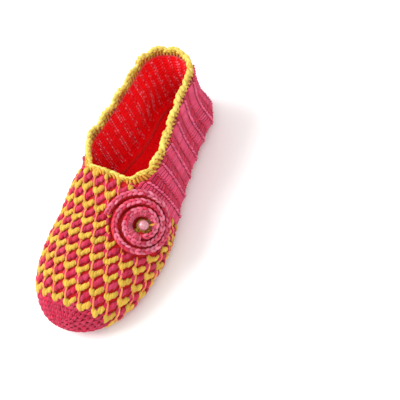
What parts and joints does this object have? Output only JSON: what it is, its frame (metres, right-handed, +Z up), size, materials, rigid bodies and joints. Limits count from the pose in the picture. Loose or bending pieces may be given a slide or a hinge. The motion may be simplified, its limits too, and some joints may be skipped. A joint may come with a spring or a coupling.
{
  "type": "crocheted slipper",
  "caption": "Low crocheted house slipper with a patterned forefoot, ribbed sides, a scalloped collar and a spiral rosette with a bead on the outer side.",
  "frame": {"origin": "middle of the slipper's box, on the floor that its sole stands on", "axes": "+X from the heel to the toe, +Y to the outer side of the left foot, +Z up"},
  "size_m": [0.236, 0.103, 0.0743],
  "materials": {
    "yarn_pink": "matte cotton yarn",
    "yarn_rosette": "matte cotton yarn",
    "yarn_yellow": "matte cotton yarn",
    "pearl": "glossy pearl"
  },
  "bodies": {
    "root": {"upper": "yarn_pink", "sole": "yarn_pink", "collar_edging": "yarn_yellow", "rosette": "yarn_rosette", "rosette_eye": "yarn_yellow", "pearl": "pearl"}
  },
  "joints": []
}
